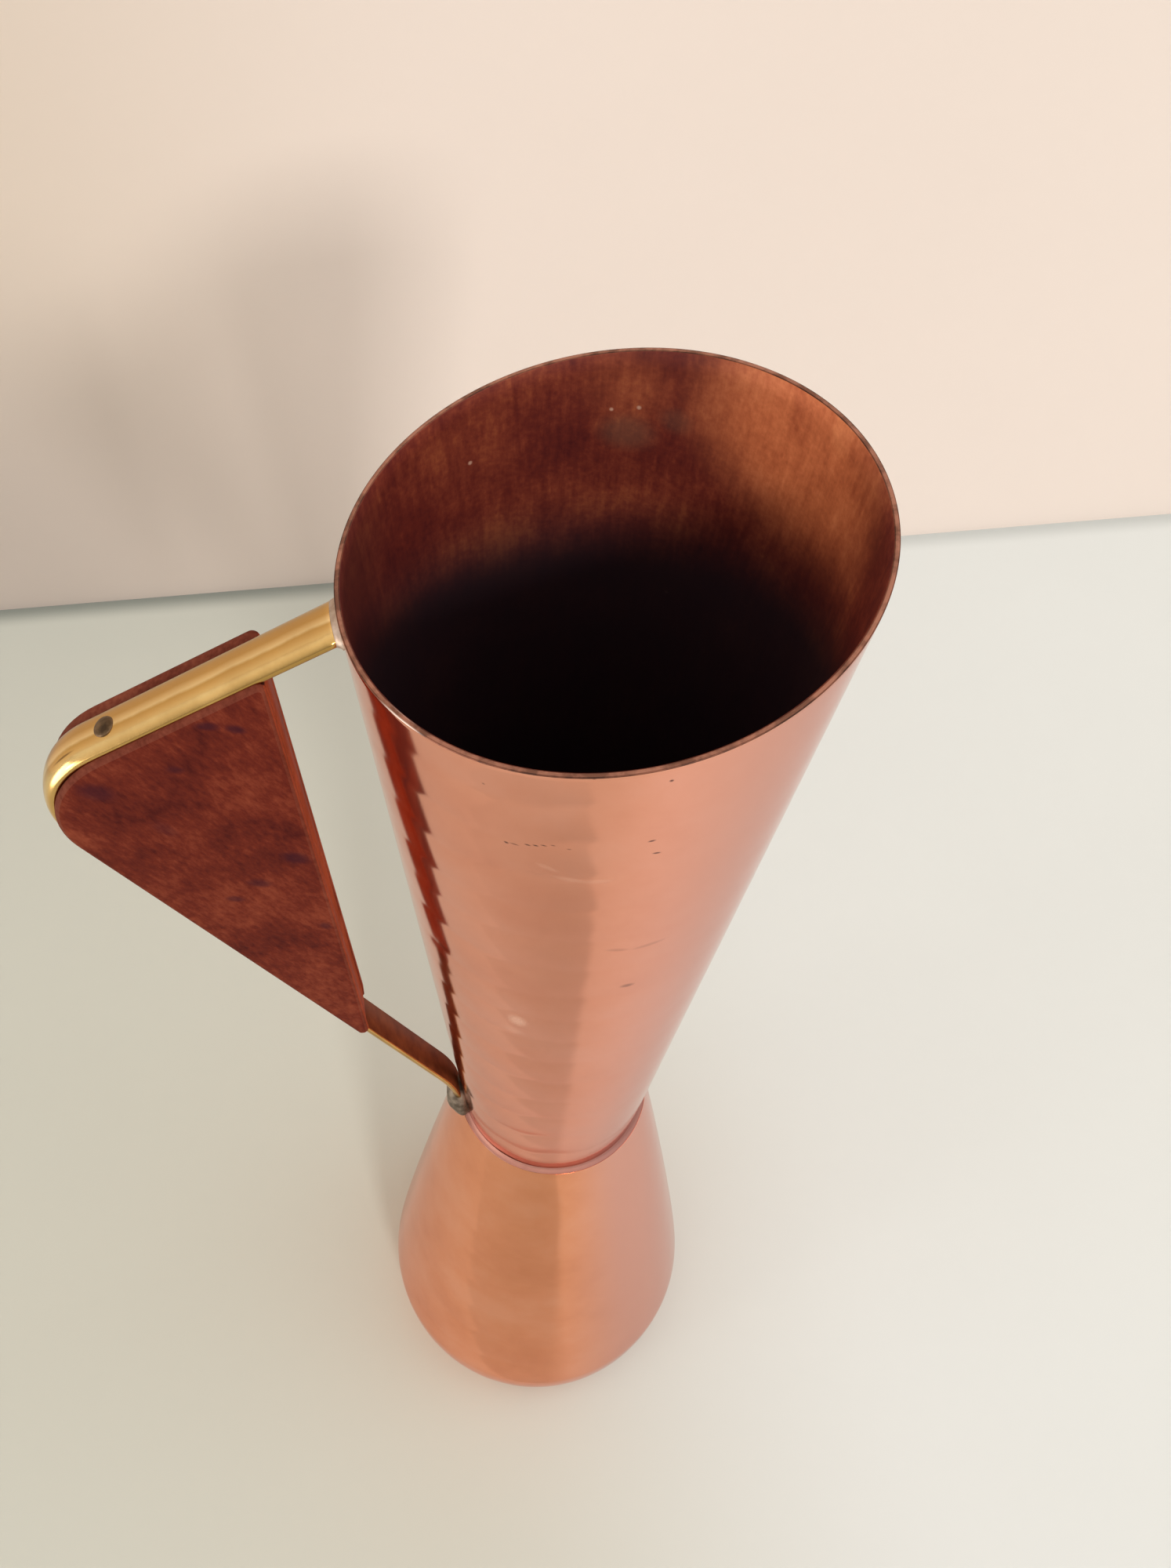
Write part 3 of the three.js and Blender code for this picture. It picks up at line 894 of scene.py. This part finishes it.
def tarnished_brass(name):
    """The strap's flat inner side, where nobody polishes: brown tarnish, a little shiny."""
    material, tree, output = new_material(name)
    place = add_node(tree, "ShaderNodeTexCoord").outputs["Object"]
    tones = [(0.2, (0.09, 0.025, 0.012)), (0.8, (0.22, 0.075, 0.03))]
    colour = grey_to_colour(tree, clouded(tree, place, 160, 2.5), tones)
    metal = add_node(
        tree,
        "ShaderNodeBsdfPrincipled",
        {"Base Color": colour, "Metallic": 0.5, "Roughness": 0.5, "Specular Tint": (0.8, 0.36, 0.2, 1)},
    )
    tree.links.new(metal.outputs[0], output.inputs["Surface"])
    return material


# The strap is swept at one width. Then its upper end is fitted to the curve of the wall, and it is hammered a
# little wider towards that end.
fitting_steps = 12
bm = bmesh.new()
along_strap(bm, domed_section(strap_width / 2, strap_edge, strap_thickness, soft=0.2, steps=20))
for v in bm.verts:
    if (Vector((v.co.x, v.co.z)) / mm - root).dot(outward) < 0.01:
        for _ in range(fitting_steps):
            short = v.co.xy.length / mm - cone_radius(v.co.z / mm)
            v.co -= Vector((outward.x, 0, outward.y)) * short * mm
    spread = min(1, max(0, (v.co.z / mm - corner.y) / (root.y - corner.y)))
    v.co.y *= 1 + (strap_root_width / strap_width - 1) * spread
bm.normal_update()
for face in bm.faces:
    if face.normal.x > 0.2 and abs(face.normal.y) < 0.6:
        face.material_index = 1
handle_strap = finished("brass_strap", bm, [brass_with_painted_highlights("strap_brass"), tarnished_brass("strap_inner_side")])
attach(handle_strap, "root")
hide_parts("handle_strap")

# Wooden grip
# A flat three-cornered block of dark red hardwood inside the bend of the strap, with its edges rounded over.
# The strap is let into a groove in its two outer edges, and glue and two pins hold it.
grip_thickness = 9
grip_edge_round = 0.75
grip_corner_round = 12.5
upper_let_in = 0.4
lower_let_in = 1.3
finger_gap = 9.25
grip_tip_rise = 38.4
set_back = 0.7


def meeting(a, u, b, v):
    """Where the line through a, heading along u, meets the line through b, heading along v."""
    return a + u * ((b - a).x * v.y - (b - a).y * v.x) / (u.x * v.y - u.y * v.x)


def rounded_outline(corners, radii, steps):
    """A closed outline with its corners rounded, each by its own radius."""
    found = []
    for i, place in enumerate(corners):
        before, after = corners[i - 1], corners[(i + 1) % len(corners)]
        _, centre, angle = turn_between(before, place, after, radii[i])
        arriving = (place - before).normalized()
        outside = Vector((arriving.y, -arriving.x)) * math.copysign(radii[i], angle)
        for k in range(steps + 1):
            found.append(centre + Matrix.Rotation(angle * k / steps, 2) @ outside)
    return found


homeward = (landing - corner).normalized()
lower_normal = Vector((homeward.y, -homeward.x))
wall_foot = Vector((-(waist_radius + finger_gap), waist_height))
wall_heading = Vector((-taper, 1))


def grip_corners(above, below):
    """The block's sharp corners, with its two outer edges that far above and below the strap's flat face."""
    upper = root + upper_normal * above
    lower = landing + lower_normal * below
    tip_level = Vector((0, waist_height + grip_tip_rise))
    tip = meeting(landing + lower_normal * lower_let_in, homeward, tip_level, Vector((1, 0)))
    return [
        meeting(upper, outward, wall_foot, wall_heading),
        meeting(upper, outward, lower, homeward),
        meeting(lower, homeward, tip, wall_heading),
    ]


def dark_hardwood(name, tones, sheen, knots=()):
    """Oiled hardwood, its short mottled grain running along the lower outer edge."""
    material, tree, output = new_material(name)
    place = add_node(tree, "ShaderNodeTexCoord").outputs["Object"]
    lean = math.atan2(-homeward.x, -homeward.y)
    turned = {"Vector": place, "Rotation": (0, lean, 0), "Scale": (1, 1, 3)}
    grain_way = add_node(tree, "ShaderNodeMapping", turned, vector_type="TEXTURE").outputs[0]
    figure = clouded(tree, place, 90, 2.4)
    fibre = clouded(tree, grain_way, 1700, 2.4)
    blend = add_node(tree, "ShaderNodeMix", {0: 0.42, 2: figure, 3: fibre}).outputs[0]
    colour = grey_to_colour(tree, blend, tones)
    if knots:
        colour = mixed(tree, marked(tree, place, knots), colour, (0.035, 0.008, 0.016))
    wood = add_node(
        tree,
        "ShaderNodeBsdfPrincipled",
        {
            "Base Color": colour,
            "Roughness": 0.6,
            "Specular IOR Level": 0.04,
            "Specular Tint": (*sheen, 1),
            "Normal": bumped(tree, fibre, 0.35, 0.08),
        },
    )
    tree.links.new(wood.outputs[0], output.inputs["Surface"])
    return material


# The edges and the inner side are lighter copies of the face's wood: painted light, strongest on the inner
# side, which faces the cone and gets little light.
face_tones = [(0.15, (0.068, 0.01, 0.0085)), (0.5, (0.138, 0.0215, 0.012)), (0.85, (0.235, 0.049, 0.024))]
edge_tones = [(0.15, (0.1, 0.022, 0.013)), (0.5, (0.165, 0.04, 0.024)), (0.85, (0.23, 0.064, 0.037))]
inner_side_painted_light_tones = [(0.15, (0.2, 0.038, 0.015)), (0.5, (0.29, 0.059, 0.023)), (0.85, (0.38, 0.085, 0.035))]
knots = [
    ((-45.1, -3.8, 235.2), (0, 20, 0), (2, 2, 1.1), 0.7),
    ((-42.1, -3.8, 234), (0, 35, 0), (1.8, 2, 1), 0.75),
    ((-49.8, -3.8, 227.8), (0, 30, 0), (1.6, 2, 1), 0.5),
    ((-38.3, -3.8, 205.4), (0, 40, 0), (3, 2, 1.8), 0.7),
    ((-43.5, -3.8, 200.5), (0, 30, 0), (2.4, 2, 1.3), 0.6),
    ((-47, -3.8, 197.4), (0, 30, 0), (1.8, 2, 1), 0.6),
    ((-36.1, -3.8, 186.8), (0, 60, 0), (1.6, 2, 1), 0.6),
    ((-59.1, -3.8, 225.3), (0, 40, 0), (3.4, 2, 2.2), 0.6),
    ((-53, -3.8, 216), (0, 60, 0), (3, 2, 1.4), 0.35),
]
corner_steps = 16
tight = grip_edge_round + 0.2
groove_tight = 0.3
side_play = 0.1
block_corners = grip_corners(upper_let_in, lower_let_in)
outer_edge = rounded_outline(block_corners, [tight, grip_corner_round, tight], corner_steps)
groove_radii = [groove_tight, corner_bend - gap, groove_tight]
groove_edge = rounded_outline(grip_corners(-gap, -gap), groove_radii, corner_steps)
groove_half = strap_width / 2 + side_play
front_face = set_back - grip_thickness / 2
layers = [
    (front_face + grip_thickness, outer_edge),
    (groove_half, outer_edge),
    (groove_half, groove_edge),
    (-groove_half, groove_edge),
    (-groove_half, outer_edge),
    (front_face, outer_edge),
]

# The two outlines share their inner side, where a bridge of the rings would cross over, so the faces between
# them are made one by one.
bm = bmesh.new()
rings = []
for depth, outline in layers:
    rings.append([bm.verts.new((p.x * mm, depth * mm, p.y * mm)) for p in outline])
for one, next_one in zip(rings, rings[1:]):
    for i in range(len(one)):
        bm.faces.new((one[i - 1], one[i], next_one[i], next_one[i - 1]))
caps = [bm.faces.new(rings[0]), bm.faces.new(rings[-1])]
bmesh.ops.recalc_face_normals(bm, faces=bm.faces)
long_edges = [edge for cap in caps for edge in cap.edges]
rounding = grip_edge_round * mm
bmesh.ops.bevel(bm, geom=long_edges, offset=rounding, segments=5, profile=0.5, affect="EDGES", material=-1)
bm.normal_update()
for face in bm.faces:
    if abs(face.normal.y) < 0.97:
        face.material_index = 2 if face.normal.x > 0.8 else 1
woods = [
    dark_hardwood("dark_wood", face_tones, (0.9, 0.6, 0.45), knots),
    dark_hardwood("dark_wood_edges", edge_tones, (0.9, 0.5, 0.35)),
    dark_hardwood("dark_wood_inner_painted_light", inner_side_painted_light_tones, (1, 0.55, 0.35)),
]
wood_grip = finished("wooden_grip", bm, woods)
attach(wood_grip, "root")
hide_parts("wood_grip")

# Pins
# Two plain round pins driven through the strap into the wood, their ends hammered over and gone dark.
pin_radius = 1.1
pin_head_radius = 1.35
pin_depth = 7
pin_point = 0.001
pin_head = 0.3
pin_sink = 0.25
head_steps = 6
upper_pin_setback = 12.8
lower_pin_setback = 30
grip_tip = block_corners[2]


def dark_pin(name):
    """Brass gone dark brown, with a fine uneven tarnish."""
    material, tree, output = new_material(name)
    place = add_node(tree, "ShaderNodeTexCoord").outputs["Object"]
    cloud = add_node(tree, "ShaderNodeTexNoise", {"Vector": place, "Scale": 700, "Detail": 4})
    tones = [(0.35, (0.06, 0.035, 0.018)), (0.65, (0.2, 0.12, 0.06))]
    colour = grey_to_colour(tree, cloud.outputs["Fac"], tones)
    inputs = {"Base Color": colour, "Metallic": 0.8, "Roughness": 0.45}
    metal = add_node(tree, "ShaderNodeBsdfPrincipled", inputs)
    tree.links.new(metal.outputs[0], output.inputs["Surface"])
    return material


pin_metal = dark_pin("pin_brass")
pins = {
    "grip_pin_upper": (corner - outward * upper_pin_setback, upper_normal),
    "grip_pin_lower": (grip_tip - lower_normal * lower_let_in - homeward * lower_pin_setback, lower_normal),
}
for node, (place, normal) in pins.items():
    shoulder = strap_thickness - pin_sink
    profile = [(pin_point, -pin_depth), (pin_radius, -pin_depth)]
    profile += [(pin_radius, shoulder), (pin_head_radius, shoulder)]
    for i in range(head_steps + 1):
        angle = math.radians(90 * i / head_steps)
        radius = max(pin_point, pin_head_radius * math.cos(angle))
        profile.append((radius, shoulder + pin_sink + pin_head * math.sin(angle)))
    bm = spun(profile, 32)
    bmesh.ops.remove_doubles(bm, verts=bm.verts, dist=0.003 * mm)
    out = Vector((normal.x, 0, normal.y))
    across = Vector((0, 1, 0))
    stand = Matrix((across.cross(out), across, out)).transposed().to_4x4()
    stand.translation = Vector((place.x, 0, place.y)) * mm
    bmesh.ops.transform(bm, matrix=stand, verts=bm.verts)
    pin = finished(node + "_driven", bm, [pin_metal])
    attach(pin, "root")
    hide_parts(node)

# Solder at the strap's two ends
# A thin collar of solder runs round the strap where it meets the wall under the lip. At the waist a grey
# lump is melted over the strap's end and ties it to the seam.

# The collar's rings: how far each is from the wall along the strap, and how far it stands off the strap.
collar = [(-0.3, 0.45), (0.12, 0.45), (0.4, 0.2), (0.8, 0.02)]
collar_skin = 0.1
bm = bmesh.new()
rings = []
for reach_out, grow in collar:
    half = strap_root_width / 2 + grow
    verts = []
    for across, up in domed_section(half, strap_edge, strap_thickness + collar_skin, soft=0.2, steps=20):
        out = root + upper_normal * (up - grow * (1 - up / strap_thickness))
        for _ in range(fitting_steps):
            out -= outward * (math.hypot(out.x, across) - cone_radius(out.y))
        out += outward * reach_out
        verts.append(bm.verts.new((out.x * mm, across * mm, out.y * mm)))
    rings.append([bm.edges.new(pair) for pair in zip(verts, verts[1:] + verts[:1])])
for one, next_one in zip(rings, rings[1:]):
    bmesh.ops.bridge_loops(bm, edges=one + next_one)
bmesh.ops.contextual_create(bm, geom=rings[0])
bmesh.ops.contextual_create(bm, geom=rings[-1])
bmesh.ops.recalc_face_normals(bm, faces=bm.faces)
bright_solder = soft_solder("root_solder", [(0.3, (0.42, 0.31, 0.24)), (0.7, (0.62, 0.5, 0.42))])
solder_upper = finished("solder_collar", bm, [bright_solder])
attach(solder_upper, "root")
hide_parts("solder_upper")

lump_half = (2.3, 3.5, 4.9)
lump_x = -17.7
lump_y = -0.8
lump_z = 112
lump_lean = 0.1
lump_swell = 0.12
lump_sink = 0.4
bm = bmesh.new()
bmesh.ops.create_uvsphere(bm, u_segments=32, v_segments=20, radius=1)
for v in bm.verts:
    swell = 1 + lump_swell * noise.noise(v.co * 1.7 + Vector((3, 1, 2)))
    v.co = Vector([place * half for place, half in zip(v.co, lump_half)]) * swell * mm
    v.co += Vector((lump_x - lump_lean * v.co.z / mm, lump_y, lump_z)) * mm
    least = (cone_radius(v.co.z / mm) - lump_sink) * mm
    if v.co.xy.length < least:
        v.co.xy = v.co.xy.normalized() * least
solder_lower = finished("solder_lump", bm, [grey_solder])
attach(solder_lower, "root")
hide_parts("solder_lower")
